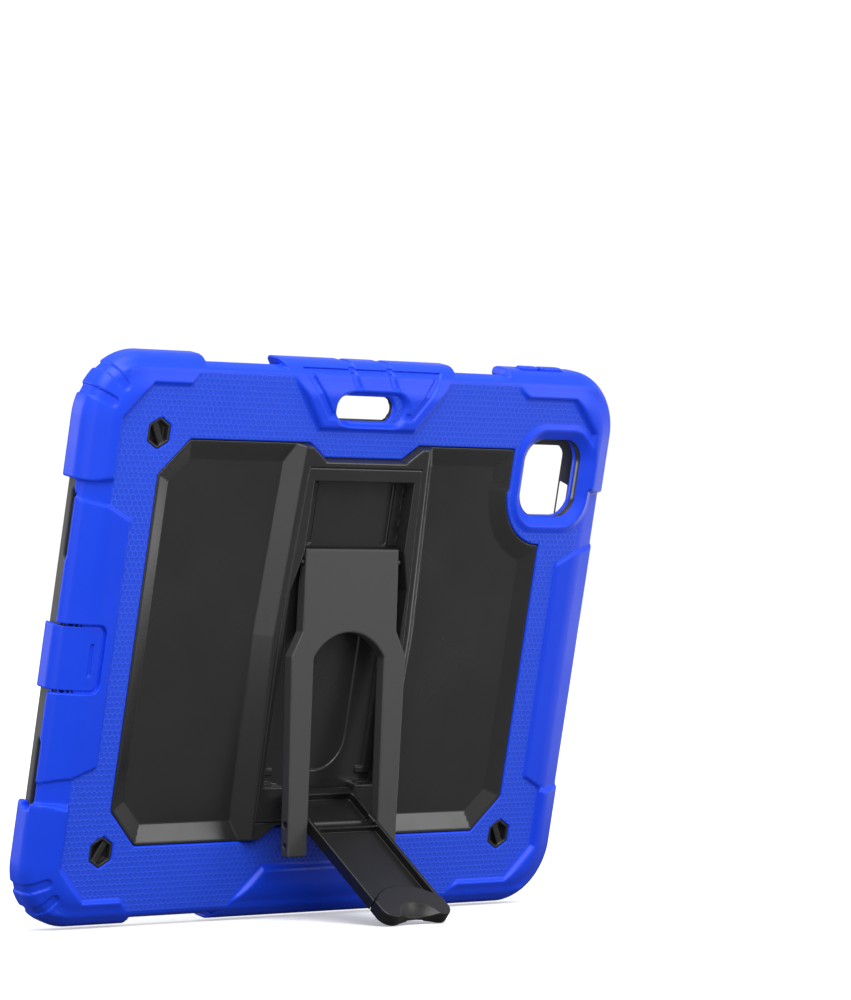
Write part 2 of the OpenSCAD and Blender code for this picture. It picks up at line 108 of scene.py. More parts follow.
# ---- where the case and its stand are, in metres ----
millimetre = 0.001
joints = {j["name"]: j for j in frame["joints"]}
upCase = -Vector(joints["flap_swing"]["axis"])  # across the case, towards the stylus side
outCase = Vector((1, 0, 0)).cross(upCase)  # out of the back
stand = {"footY": -58.55, "footZ": 0.5, "footOpen": 116.5, "legTilt": 8.8852, "crank": 17.0}
caseTurn = Matrix((Vector((1, 0, 0)), upCase, outCase)).transposed().to_4x4()
caseOrigin = (Vector(joints["foot_swing"]["pos_m"])
              - upCase * stand["footY"] * millimetre
              - outCase * stand["footZ"] * millimetre)
caseMatrix = Matrix.Translation(caseOrigin) @ caseTurn
footPlace = (0, stand["footY"] * millimetre, stand["footZ"] * millimetre)
footMatrix = (caseMatrix @ Matrix.Translation(footPlace)
              @ Matrix.Rotation(radians(stand["footOpen"]), 4, "X"))
legMatrix = (footMatrix @ Matrix.Translation((0, stand["crank"] * millimetre, 0))
             @ Matrix.Rotation(-radians(stand["footOpen"] + stand["legTilt"]), 4, "X"))


# ---- shapes as distance fields, in millimetres ----
def roundMax(a, b, r):  # both, with the outer edge rounded by r
    return np.minimum(np.maximum(a, b), -r) + np.hypot(np.maximum(a + r, 0), np.maximum(b + r, 0))


def roundMin(a, b, r):  # either, with the inner corner filled by r
    return -roundMax(-a, -b, r)


def cutOut(body, tool, r):
    return roundMax(body, -tool, r)


def engrave(body, plan, depth, r=0.3):  # sinks the surface by depth inside plan
    return roundMax(body, -roundMax(plan, -(body + depth), r), r)


def rect(x, y, halfX, halfY, r):
    a, b = np.abs(x) - halfX + r, np.abs(y) - halfY + r
    return np.hypot(np.maximum(a, 0), np.maximum(b, 0)) + np.minimum(np.maximum(a, b), 0) - r


def polygon(x, y, points):
    x, y = np.broadcast_arrays(x, y)
    best = np.full(x.shape, 1e12)
    flip = np.zeros(x.shape, bool)
    for (ax, ay), (bx, by) in zip(points, points[-1:] + points[:-1]):
        ex, ey, wx, wy = bx - ax, by - ay, x - ax, y - ay
        t = np.clip((wx * ex + wy * ey) / (ex * ex + ey * ey), 0, 1)
        best = np.minimum(best, (wx - ex * t) ** 2 + (wy - ey * t) ** 2)
        above, below, left = y >= ay, y < by, ex * wy > ey * wx
        flip ^= (above & below & left) | ~(above | below | left)
    return np.where(flip, -1, 1) * np.sqrt(best)


def mirrored(half):  # a closed outline from its right half, listed from the top down
    return half + [(-x, y) for x, y in half[::-1]]


def between(z, low, high):
    return np.maximum(low - z, z - high)


def slab(plan, z, low, high, r):
    return roundMax(plan, between(z, low, high), r)


def barAcross(y, z, y0, z0, r):  # a round bar or bore along x
    return np.hypot(y - y0, z - z0) - r


sixtySine = 0.8660254


def hexagon(x, y, apothem):
    return np.maximum(np.abs(x), 0.5 * np.abs(x) + sixtySine * np.abs(y)) - apothem


def turned(x, y, degrees):
    c, s = cos(radians(degrees)), sin(radians(degrees))
    return c * x + s * y, c * y - s * x


edgePairs = [(a, a | bit) for bit in (1, 2, 4) for a in range(8) if not a & bit]
cornerSteps = np.array([[(c >> k) & 1 for k in range(3)] for c in range(8)])


def gradient(field, p, h):
    steps = h * np.eye(3)
    return np.stack([(field(*(p + s).T) - field(*(p - s).T)) / (2 * h) for s in steps], 1)


coarser = 1


def gridLines(*stretches):  # each stretch is start, end, spacing
    lines = []
    for start, end, spacing in stretches:
        steps = max(1, round((end - start) / (spacing * coarser)))
        lines.append(np.linspace(start, end, steps + 1)[:-1])
    return np.concatenate(lines + [[stretches[-1][1]]])


def evenGrid(low, high, cell):
    return [gridLines((low[k], high[k], cell[k])) for k in range(3)]


def makePiece(name, field, axes, matrix, softness=0.22):
    # meshes the zero surface of field on a grid, then moves each point onto it
    count = np.array([len(a) for a in axes])
    finest = min(np.diff(a).min() for a in axes)
    value = np.empty(count, np.float32)
    for start in range(0, count[0], 40):
        end = start + 40
        value[start:end] = field(
            axes[0][start:end, None, None], axes[1][None, :, None], axes[2][None, None, :])
    inside = value < 0
    total = np.zeros(count - 1, np.int8)
    for c in cornerSteps:
        total += inside[c[0]:count[0] - 1 + c[0], c[1]:count[1] - 1 + c[1], c[2]:count[2] - 1 + c[2]]
    active = (total > 0) & (total < 8)
    cells = np.argwhere(active)
    number = np.full(count - 1, -1, np.int64)
    number[active] = np.arange(len(cells))
    corner = np.stack([value[tuple((cells + c).T)] for c in cornerSteps], 1)
    spot, hits = np.zeros((len(cells), 3)), np.zeros(len(cells))
    for a, b in edgePairs:
        crossing = (corner[:, a] < 0) != (corner[:, b] < 0)
        t = corner[:, a] / np.where(crossing, corner[:, a] - corner[:, b], 1)
        point = cornerSteps[a] + t[:, None] * (cornerSteps[b] - cornerSteps[a])
        spot += np.where(crossing[:, None], point, 0)
        hits += crossing
    spot /= hits[:, None]
    points = np.stack([
        axes[k][cells[:, k]] + spot[:, k] * np.diff(axes[k])[cells[:, k]] for k in range(3)], 1)
    for _ in range(3):
        slope = gradient(field, points, 0.02)
        size = np.maximum((slope ** 2).sum(1), 0.05)
        move = (-field(*points.T) / size)[:, None] * slope
        reach = np.linalg.norm(move, axis=1)
        points += move * np.minimum(1, 0.6 * finest / np.maximum(reach, 1e-9))[:, None]
    faces = []
    for k in range(3):
        e, f = (k + 1) % 3, (k + 2) % 3
        ahead = [slice(None)] * 3
        ahead[k] = slice(1, None)
        behind = [slice(None)] * 3
        behind[k] = slice(None, -1)
        first, second = inside[tuple(behind)], inside[tuple(ahead)]
        at = np.argwhere(first != second)
        at = at[(at[:, e] > 0) & (at[:, f] > 0) & (at[:, e] < count[e] - 1) & (at[:, f] < count[f] - 1)]
        stepE, stepF = np.eye(3, dtype=int)[e], np.eye(3, dtype=int)[f]
        around = (0 * stepE, stepE, stepE + stepF, stepF)
        quad = np.stack([number[tuple((at - s).T)] for s in around], 1)
        outward = first[tuple(at.T)]
        faces.append(np.where(outward[:, None], quad, quad[:, ::-1]))
    faces = np.concatenate(faces)
    normals = gradient(field, points, softness)
    normals /= np.maximum(np.linalg.norm(normals, axis=1), 1e-9)[:, None]
    mesh = bpy.data.meshes.new(name)
    mesh.from_pydata((points * millimetre).tolist(), [], faces.tolist())
    mesh.polygons.foreach_set("use_smooth", np.ones(len(faces), bool))
    mesh.normals_split_custom_set_from_vertices(normals.tolist())
    piece = bpy.data.objects.new(name, mesh)
    piece.matrix_world = matrix
    scene.collection.objects.link(piece)
    print("built", name, len(faces), "faces")
    return piece


# ---- sizes shared by several pieces, in millimetres ----
case = {
    "halfL": 135.0, "halfW": 107.0, "cornerR": 25.0,
    "edgeL": 134.0, "edgeW": 104.6,
    "frameL": 131.6, "frameW": 102.6, "frameR": 21.6,
    "tabletY": -5.55,
    "skinLow": -1.8, "edgeLow": -6.5, "cavity": -4.0, "face": -10.3, "front": -11.9, "wrap": -12.9,
    "panel": -2.6, "middle": -7.05,
    "cameraX": 102.7, "cameraY": 64.95,
    "bayX": -3.0, "bayY": 89.5, "bayL": 171.0, "bayW": 10.8, "pushX": -2.5,
    "strapX": 102.0, "strapY": 78.0,
    "flapBack": -115.0, "flapHalf": 12.0,
    "buttons": ((86.4, 9.7), (98.0, 11.6)),
}
straps = ((-1, 1, "\\"), (-1, -1, "/"), (1, -1, "\\"))


def arcPoints(x0, y0, r, start, end, steps):
    turns = np.radians(np.linspace(start, end, steps))
    return [(x0 + r * cos(t), y0 + r * sin(t)) for t in turns]


windowOutline = (
    [(-100, 62.75), (-86.5, 76.25), (-28, 76.25), (-20, 70.75), (20, 70.75), (28, 76.25), (79.7, 76.25)]
    + [(79.7, 60)] + arcPoints(100, 59.5, 21, 182, 262, 14)
    + [(100, 38.6), (100, -62.75), (86.5, -76.25), (28, -76.25), (20, -70.75), (-20, -70.75)]
    + [(-28, -76.25), (-86.5, -76.25), (-100, -62.75)]
)


def cameraPlan(x, y, half, r):
    return rect(x - case["cameraX"], y - case["cameraY"], half, half, r)


def pushPlan(x, y, grow, shift=0):
    return rect(x - case["pushX"] - shift, y - case["bayY"] - 0.2, 14.5 + grow, 4.5 + grow, 4.4 + grow)


def bayPlan(x, y):
    return rect(x - case["bayX"], y - case["bayY"], case["bayL"] / 2, case["bayW"] / 2, 0.3)


def flapPlan(x, y, grow):
    reach = 30  # from the flap's inner end to well past the side of the case
    return rect(x - case["flapBack"] + reach, y - case["tabletY"], reach + grow,
                case["flapHalf"] + grow, 3 + grow)


def speakerCut(x, y, z):
    ends = np.minimum(rect(y - 43, z - case["middle"], 13, 1.9, 1.6),
                      rect(y + 49, z - case["middle"], 13, 1.9, 1.6))
    return np.maximum(ends, x + 124)


def powerCut(x, y, z):
    return np.maximum(np.maximum(128.6 - x, rect(y - 64.75, z + 10.4, 10.75, 5.4, 1.2)), z + 5)


# ---- blue rubber skin ----
skin = {
    "rollIn": 12.5, "rollTilt": 17.0, "rollR": 3.0,
    "bumperRise": 2.0, "bumperIn": 11.5, "bumperTilt": 22.0, "bumperR": 3.6,
    "stripRise": 0.9, "cameraRise": 0.9,
    "ribDepth": 0.8, "ribHalf": 1.9, "ribTurns": (24, 49), "ribStart": 15.5,
    "grooveDepth": 0.8,
}
leftCorner = [(-120.5, 60), (-120.5, 83), (-108, 96), (-90, 96),
              (-83, 104), (-83, 110), (-140, 110), (-140, 60)]
rightCorner = [(120.5, 60), (120.5, 83), (108, 96), (82, 96),
               (73, 104), (73, 110), (140, 110), (140, 60)]
stylusBump = [(-45, 107), (-25, 81.3), (24, 81.3), (38, 97), (43, 104), (43, 110), (-45, 110)]
innerPads = [(-34, 104.5), (-21, 87), (20.5, 87), (31.5, 99.5), (34, 104.5)]
lowerBump = [(-42, -106), (-22, -86), (22, -86), (42, -106), (42, -110), (-42, -110)]
leftStrip = [(-140, -50), (-121, -50), (-110, -46), (-110, 46), (-121, 51), (-140, 51)]
rightStrip = [(140, -60), (121, -60), (111, -55), (111, 31), (121, 36), (140, 36)]


def rolledBody(x, y, z, halfL, halfW, r, inset, tilt, top, low, rollR, longInset=None):
    side = rect(x, y, halfL, halfW, r)
    roll = (side + inset) * sin(radians(tilt)) + (z - top) * cos(radians(tilt))
    if longInset is not None:
        ends = (np.abs(x) - halfL + inset) * sin(radians(tilt)) + (z - top) * cos(radians(tilt))
        sides = (np.abs(y) - halfW + longInset) * 0.6 + (z - top) * 0.8
        roll = np.maximum(ends, sides)
    body = roundMax(roundMax(side, roll, rollR), between(z, low, top), 0.9)
    return roundMax(body, (side - z + low + 1.5) * 0.7071, 0.6)  # the lower edge turns in


def skinOuter(x, y, z):
    body = rolledBody(x, y, z, case["edgeL"], case["edgeW"], case["cornerR"] - 1, skin["rollIn"],
                      skin["rollTilt"], 0, case["edgeLow"], skin["rollR"], 2.6)
    raised = rolledBody(x, y, z, case["edgeL"], case["edgeW"], case["cornerR"] - 1, skin["rollIn"],
                        skin["rollTilt"], skin["stripRise"], case["edgeLow"], skin["rollR"], 2.6)
    strips = np.minimum(polygon(x, y, leftStrip), polygon(x, y, rightStrip))
    body = roundMin(body, roundMax(raised, strips * 0.85 + z * 0.5, 0.4), 0.4)
    rim = roundMax(cameraPlan(x, y, 20.6, 13) * 0.7 + z * 0.7, between(z, -1, skin["cameraRise"]), 0.5)
    body = roundMin(body, rim, 1.2)
    guard = rolledBody(x, y, z, case["halfL"], case["halfW"], case["cornerR"], skin["bumperIn"],
                       skin["bumperTilt"], skin["bumperRise"], case["wrap"], skin["bumperR"])
    bump = polygon(x, y, stylusBump)
    plans = np.minimum(polygon(x, np.abs(y), leftCorner), polygon(x, np.abs(y), rightCorner))
    plans = np.minimum(np.minimum(plans, bump), polygon(x, y, lowerBump))
    guard = roundMax(guard, plans * 0.84 + np.clip(z, -0.5, 4) * 0.54, 0.7)
    return roundMin(body, guard, 0.7)


def skinDetail(x, y, z, body):
    for turn in skin["ribTurns"]:
        along, across = turned(-x - 110, np.abs(y) - 82, turn)
        plan = roundMax(np.abs(across) - skin["ribHalf"], skin["ribStart"] - along, 1.8)
        body = engrave(body, roundMax(plan, x, 1.0), skin["ribDepth"], 0.5)
    pads = polygon(x, y, innerPads)
    edge = np.maximum(np.abs(pads) - 1.4, 86 - y)
    body = engrave(body, np.maximum(edge, y - 104.2), skin["grooveDepth"], 0.5)
    for x0, lean in ((-10.5, 0.030), (9.0, 0.022)):
        groove = np.abs(x - x0 - lean * (107 - y) ** 2) - 1.5
        groove = np.maximum(np.maximum(groove, 97.5 - y), pads - 3)
        body = engrave(body, groove, skin["grooveDepth"], 0.6)
    return body


def skinField(x, y, z):
    outer = skinOuter(x, y, z)
    body = skinDetail(x, y, z, outer)
    inner = rect(x, y, case["frameL"], case["frameW"], case["frameR"])
    hollow = np.maximum(np.maximum(inner, between(z, case["front"], case["skinLow"])), outer + 2.3)
    hollow = np.where(z < -8, np.maximum(inner, case["front"] - z), hollow)
    body = cutOut(body, hollow, 0.3)
    body = cutOut(body, np.maximum(inner + 2.1, z - case["front"] - 0.2), 0.3)
    body = cutOut(body, polygon(x, y, windowOutline), 0.5)
    body = cutOut(body, cameraPlan(x, y, 15.2, 9) - np.maximum(z + 1.8, 0) * 1.5, 0.6)
    body = cutOut(body, pushPlan(x, y, 0.2) - np.clip(z + 0.4, 0, 4) * 0.7, 0.5)
    body = cutOut(body, np.maximum(pushPlan(x, y, 1.2, 3.6) - np.clip(z, 0, 4) * 0.8, -z), 0.8)
    for sx, sy, _ in straps:
        body = cutOut(body, hexagon(x - sx * case["strapX"], y - sy * case["strapY"], 5.3), 0.3)
    body = cutOut(body, np.maximum(flapPlan(x, y, 0.75), -1.75 - outer), 0.25)
    body = cutOut(body, flapPlan(x, y, -0.8), 0.3)  # a thin lip stays under the flap's edge
    body = cutOut(body, speakerCut(x, y, z), 0.5)
    body = cutOut(body, powerCut(x, y, z), 0.5)
    for x0, length in case["buttons"]:
        hole = rect(x - x0, z - case["middle"], length / 2 + 0.4, 2.4, 1.2)
        body = cutOut(body, np.maximum(hole, 102 - y), 0.4)
    return body


skinLines = [
    gridLines((-137, -107, 0.66), (-107, -48, 1.5), (-48, 46, 0.8), (46, 80, 1.4),
              (80, 124, 0.85), (124, 137, 0.66)),
    gridLines((-109, -80, 0.72), (-80, -18, 1.35), (-18, 8, 0.55), (8, 46, 1.3),
              (46, 78, 0.9), (78, 109, 0.66)),
    gridLines((-14.5, -2.6, 0.85), (-2.6, 4.2, 0.5)),
]
rubberSkin = makePiece("rubberSkin", skinField, skinLines, caseMatrix)


# ---- port flap ----
def flapField(x, y, z):
    body = rolledBody(x, y, z, case["edgeL"], case["edgeW"], case["cornerR"] - 1, skin["rollIn"],
                      skin["rollTilt"], 0, case["front"] - 0.6, skin["rollR"])
    body = roundMax(body, flapPlan(x, y, -0.05), 0.5)
    body = engrave(body, rect(x + 119.5, y + 6, 0.75, 6, 0.7), 0.9)
    inside = np.maximum(np.maximum(-131.9 - x, z + 1.5), skinOuter(x, y, z) + 1.5)
    inside = np.where(z < case["edgeLow"] + 2, -131.9 - x, inside)
    return cutOut(body, inside, 0.3)


flapGrid = evenGrid((-136, -20, -14), (-112, 9, 2), (0.42, 0.5, 0.42))
portFlap = makePiece("portFlap", flapField, flapGrid, caseMatrix)


# ---- volume buttons ----
def buttonField(x0, length):
    def field(x, y, z):
        head = slab(rect(x - x0, z - case["middle"], length / 2, 2, 1.2), y, 103.3, 107.9, 0.7)
        mark = np.abs(rect(x - x0, z - case["middle"], length / 2 - 2.2, 0.5, 0.4))
        head = engrave(head, mark - 0.25, 0.25)
        stem = slab(rect(x - x0, z - case["middle"], 2.5, 1.5, 0.2), y, 84.5, 104, 0.2)
        return roundMin(head, stem, 0.3)
    return field


buttonPieces = []
for name, (x0, length) in zip(("volumeDown", "volumeUp"), case["buttons"]):
    grid = evenGrid((x0 - 8, 83, -11), (x0 + 8, 110, -3), (0.45, 0.5, 0.45))
    buttonPieces.append(makePiece(name, buttonField(x0, length), grid, caseMatrix))

# ---- hard shell behind the skin ----
shell = {"bevel": 7.0, "spineRise": 3.0}
spineHalf = [(31.3, 75.8), (34.5, 3), (32.1, -75.8)]
channelHalf = [(28.95, 67.5), (32.45, 3), (31.55, -68.5)]


def shellField(x, y, z):
    flange = slab(rect(x, y, 121, 98, 12), z, case["cavity"], case["skinLow"], 0.3)
    window = polygon(x, y, windowOutline)
    body = roundMin(flange, slab(window + 0.15, z, case["cavity"], -0.15, 0.4), 0.1)
    sink = case["panel"] / shell["bevel"]  # the bevel falls to the panel
    sunk = np.maximum((-sink * (window + 0.5) - z) * 0.937, case["panel"] - z)
    body = cutOut(body, np.maximum(sunk, 26 - np.abs(x)), 0.25)
    spinePlan = polygon(x, y, mirrored(spineHalf))
    slopeSin, slopeCos = 0.652, 0.757  # the spine's sloped sides
    spine = roundMax(spinePlan * slopeSin + (z - shell["spineRise"]) * slopeCos,
                     between(z, -3, shell["spineRise"]), 0.6)
    spine = roundMax(spine, window + 0.3 + np.clip(z, -1, 3) * 0.25, 0.5)
    body = roundMin(body, spine, 0.3)
    body = cutOut(body, polygon(x, y, mirrored(channelHalf)), 0.35)
    body = cutOut(body, np.maximum(bayPlan(x, y), z + 3.2), 0.3)
    body = cutOut(body, pushPlan(x, y, 0), 0.4)
    body = cutOut(body, cameraPlan(x, y, 15, 9), 0.4)
    for sx, sy, _ in straps:
        body = cutOut(body, hexagon(x - sx * case["strapX"], y - sy * case["strapY"], 5.25), 0.2)
    return body


shellLines = [
    gridLines((-123, -37, 0.9), (-37, -26, 0.36), (-26, 26, 1.3), (26, 37, 0.36), (37, 123, 0.9)),
    gridLines((-100, 100, 0.85)),
    gridLines((-5.2, 4.2, 0.48)),
]
rearShell = makePiece("rearShell", shellField, shellLines, caseMatrix)

# ---- front frame ----
gripOutline = [(117, -28), (128.5, -21), (128.5, 12), (117, 18)]
faceSlots = ((-68.5, 7), (-56.5, 16), (35.5, 9.5), (48.5, 14))


def frontField(x, y, z):
    outer = rect(x, y, case["frameL"], case["frameW"], case["frameR"])
    body = slab(outer, z, case["front"], case["cavity"], 0.8)
    body = cutOut(body, np.maximum(outer + 2, case["face"] - z), 0.3)
    ty = y - case["tabletY"]
    body = cutOut(body, rect(x, ty, 114.7, 80.5, 4), 0.5)
    funnel = rect(x, ty, 118.1, 83.9, 6) * 0.6 + (z - case["front"] - 0.1) * 0.8
    body = cutOut(body, np.maximum(funnel, z - case["face"] - 1), 0.3)
    body = cutOut(body, np.maximum(bayPlan(x, y), z - case["face"] - 1), 0.4)
    body = engrave(body, np.maximum(polygon(x, y, gripOutline), z + 11), 0.6)
    for y0, length in faceSlots:
        end = y0 + length
        hole = polygon(x, y, [(117.6, y0), (123.1, y0 + 2), (123.1, end - 2), (117.6, end)])
        body = cutOut(body, np.maximum(hole, z - case["face"] - 1), 0.4)
    tabs = rect(np.abs(x) - 60.5, z + 8.5, 7.5, 1.6, 0.8)
    body = engrave(body, np.maximum(tabs, 101.5 - np.abs(y)), 0.6)
    body = cutOut(body, speakerCut(x, y, z), 0.4)
    body = cutOut(body, powerCut(x, y, z), 0.4)
    port = np.maximum(rect(y - case["tabletY"], z - case["middle"], 7, 3.2, 1.0), x + 121)
    body = cutOut(body, port, 0.3)
    for x0, _ in case["buttons"]:
        stem = rect(x - x0, z - case["middle"], 2.9, 1.9, 0.3)
        body = cutOut(body, np.maximum(stem, 88 - y), 0.2)
    return body


frontGrid = evenGrid((-133, -104, -13), (133, 104, -3), (0.8, 0.8, 0.5))
frontFrame = makePiece("frontFrame", frontField, frontGrid, caseMatrix)

# ---- recess that holds the folded stand ----
channel = {"floor": -2.8, "troughFloor": -3.3, "ledgeTop": -1.95, "earGap": 17.65, "earTop": -55.05}
pocketHalf = [(25.65, 62.35), (25.65, 35.35), (30.0, 20.35), (29.2, -68.05)]


def channelField(x, y, z):
    outline = polygon(x, y, mirrored(channelHalf)) + 0.08
    body = slab(outline, z, case["cavity"], 3, 0.5)
    pocket = polygon(x, y, mirrored(pocketHalf))
    floor = np.maximum(pocket, channel["floor"] - z)
    floor = np.maximum(floor, np.minimum(np.abs(x) - channel["earGap"], channel["earTop"] - y))
    body = cutOut(body, floor, 0.4)
    slots = np.maximum(rect(np.abs(x) - 19.4, y - 49.35, 1.4, 12, 1.3), channel["floor"] - 0.6 - z)
    body = cutOut(body, slots, 0.2)
    trough = rect(x, y + 13, 14, 37, 13.5)
    body = cutOut(body, np.maximum(trough, channel["troughFloor"] - z), 0.4)
    ledge = rect(np.abs(x) - 26.5, y + 16, 2.2, 34, 0.8)
    body = roundMin(body, slab(ledge, z, -3, channel["ledgeTop"], 0.4), 0.3)
    foot = rect(np.abs(x) - 25.0, y + 50.4, 3.7, 1.3, 0.5)
    body = roundMin(body, slab(foot, z, -3, channel["ledgeTop"], 0.4), 0.3)
    block = rect(np.abs(x) - 24.6, y + 57.5, 3.6, 3.2, 1.6)
    body = roundMin(body, slab(block, z, -3, -0.6, 0.8), 0.4)
    bore = np.maximum(barAcross(y, z, stand["footY"], stand["footZ"], 1.3), np.abs(x) - 22.65)
    body = cutOut(body, bore, 0.1)
    return np.maximum(body, outline)


channelLines = [
    gridLines((-34, -24, 0.34), (-24, 24, 0.6), (24, 34, 0.34)),
    gridLines((-72, 71, 0.55)),
    gridLines((-5, 4, 0.38)),
]
standChannel = makePiece("standChannel", channelField, channelLines, caseMatrix)

# ---- leg ----
leg = {"length": 98.5, "over": 5.0, "low": -12.0, "half": 2.2, "archHalf": 18.0, "archR": 21.8}
legTop = leg["length"] + leg["over"]
legHalf = [(23.75, legTop), (24.0, legTop - 31), (29.2, legTop - 40.5), (27.5, leg["low"])]
archApex = legTop - 31.5


def archPlan(x, y, grow):
    top = np.hypot(x, y - archApex + leg["archR"]) - leg["archR"] - grow
    top = np.minimum(top, y - (archApex - 9.6))
    return np.maximum(top, np.abs(x) - leg["archHalf"] - grow)


def legField(x, y, z):
    plan = np.maximum(polygon(x, y, mirrored(legHalf)), -archPlan(x, y, 0))
    body = slab(plan, z, -leg["half"], leg["half"], 0.55)
    t = radians(stand["legTilt"])
    relief = (y - legTop + 14) * sin(-t) + (z + leg["half"]) * cos(t)
    body = cutOut(body, np.maximum(relief, legTop - 14 - y), 0.3)
    well = np.maximum(polygon(x, y, mirrored(legHalf)) + 2.2, 2.2 - archPlan(x, y, 0))
    body = cutOut(body, np.maximum(np.maximum(well, z + 0.6), y - legTop + 18), 0.3)
    body = cutOut(body, barAcross(y, z, 0, 0, 1.32), 0.2)
    body = cutOut(body, np.maximum(barAcross(y, z, -8, 0, 0.9), 26.2 - np.abs(x)), 0.15)
    body = cutOut(body, np.maximum(barAcross(y, z, leg["length"], 0, 1.3), 19.75 - np.abs(x)), 0.1)
    return body


legGrid = evenGrid((-31, -14, -3.5), (31, 105.5, 3.5), (0.55, 0.55, 0.42))
standLeg = makePiece("standLeg", legField, legGrid, legMatrix)

# ---- foot ----
foot = {"half": 17.25, "length": 72.862, "seam": 55.862, "seamR": 23.0, "thick": 2.2, "pad": 0.6}


def seamPlan(x, y, gap):
    curve = np.hypot(x, y - foot["seam"] - foot["seamR"]) - foot["seamR"]
    return np.minimum(curve, foot["seam"] + 7.5 - y) + gap


def plateField(x, y, z):
    t = foot["thick"]
    plan = np.maximum(np.abs(x) - foot["half"], y - 66)
    body = roundMax(plan, between(z, -t, t), 0.5)
    body = np.maximum(body, np.where(y < 0, np.hypot(y, z) - t, -9))
    tray = np.maximum(rect(x, y - 40, 15.45, 37, 1.5), z - 0.7)
    rib = np.maximum(np.maximum(between(y, 14.8, 19.2), -cutSlot(x, y, z)), 0)
    lips = np.minimum(between(y, 20.6, 21.6), seamPlan(x, y, 1.2))
    lips = np.maximum(lips, -z - 1.4)
    keep = np.minimum(rib, lips)
    body = cutOut(body, np.maximum(tray, -keep), 0.3)
    body = cutOut(body, seamPlan(x, y, -0.15), 0.25)
    for y0 in (0, stand["crank"]):
        body = cutOut(body, barAcross(y, z, y0, 0, 1.35), 0.1)
    return body


def cutSlot(x, y, z):
    return np.maximum(rect(x, y - 17, 8.5, 0.8, 0.7), z - 0.2)


def tipField(x, y, z):
    t = foot["thick"]
    plan = rect(x, y - foot["length"] + 30, foot["half"], 30, 5)
    body = slab(np.maximum(plan, seamPlan(x, y, 0.1)), z, -t - foot["pad"], t, 0.6)
    body = cutOut(body, np.hypot(x, y - foot["length"] - 28) - 30, 0.5)
    scoop = np.sqrt(x ** 2 * 0.85 + (y - foot["length"] - 2) ** 2 + (z + t + foot["pad"] + 9) ** 2) - 13
    body = cutOut(body, scoop, 0.4)
    under = np.abs(((y - 60) % 3.0) - 1.5) - 0.45
    return engrave(body, np.maximum(np.maximum(under, 1.6 - z), np.abs(x) - 14.5), 0.35)


plateGrid = evenGrid((-18.5, -3.5, -3.2), (18.5, 67.5, 3.2), (0.42, 0.42, 0.38))
footPlate = makePiece("footPlate", plateField, plateGrid, footMatrix)
tipGrid = evenGrid((-18.5, 53, -3.8), (18.5, 74.5, 3.2), (0.38, 0.38, 0.35))
footTip = makePiece("footTip", tipField, tipGrid, footMatrix)


# ---- strap anchors ----
def anchorField(sx, sy, way):
    def field(x, y, z):
        px, py = x - sx * case["strapX"], y - sy * case["strapY"]
        cup = hexagon(px, py, 5.19)
        body = slab(cup, z, case["cavity"], -0.3, 0.25)
        body = cutOut(body, np.maximum(cup + 0.95, case["cavity"] + 1 - z), 0.2)
        along, across = turned(px, py, -60 if way == "\\" else 60)
        bar = slab(np.maximum(np.abs(across) - 1.3, cup + 0.4), z, -2.3, -0.8, 0.4)
        return roundMin(body, bar, 0.2)
    return field


anchorNames = ("strapAnchorTop", "strapAnchorLowLeft", "strapAnchorLowRight")
anchorPieces = []
for name, (sx, sy, way) in zip(anchorNames, straps):
    x0, y0 = sx * case["strapX"], sy * case["strapY"]
    grid = evenGrid((x0 - 7, y0 - 7.2, -4.8), (x0 + 7, y0 + 7.2, 0.6), (0.25, 0.25, 0.25))
    anchorPieces.append(makePiece(name, anchorField(sx, sy, way), grid, caseMatrix))


# ---- shader groups ----
def newGroup(name, inputs, outputs):
    group = bpy.data.node_groups.new(name, "ShaderNodeTree")
    for label, kind, default in inputs:
        socket = group.interface.new_socket(label, in_out="INPUT", socket_type=kind)
        if default is not None:
            socket.default_value = default
    for label, kind in outputs:
        group.interface.new_socket(label, in_out="OUTPUT", socket_type=kind)
    return group, group.nodes.new("NodeGroupInput"), group.nodes.new("NodeGroupOutput")


def mixColour(tree, share, first, second):
    return addNode(tree, "ShaderNodeMix", {0: share, 6: first, 7: second}, data_type="RGBA").outputs[2]


def addNode(tree, kind, links=None, **settings):
    node = tree.nodes.new(kind)
    for key, value in settings.items():
        setattr(node, key, value)
    for key, value in (links or {}).items():
        socket = node.inputs[key]
        if isinstance(value, bpy.types.NodeSocket):
            tree.links.new(value, socket)
        else:
            socket.default_value = value
    return node


def mathNode(tree, operation, a, b=0.0):
    return addNode(tree, "ShaderNodeMath", {0: a, 1: b}, operation=operation).outputs[0]


def vectorNode(tree, operation, a, b=(0, 0, 0), c=None):
    links = {0: a, 1: b}
    if c is not None:
        links[2] = c
    return addNode(tree, "ShaderNodeVectorMath", links, operation=operation)


def stepNode(tree, value, low, high, outLow=0.0, outHigh=1.0):
    links = {"Value": value, "From Min": low, "From Max": high, "To Min": outLow, "To Max": outHigh}
    return addNode(tree, "ShaderNodeMapRange", links, interpolation_type="SMOOTHSTEP").outputs["Result"]


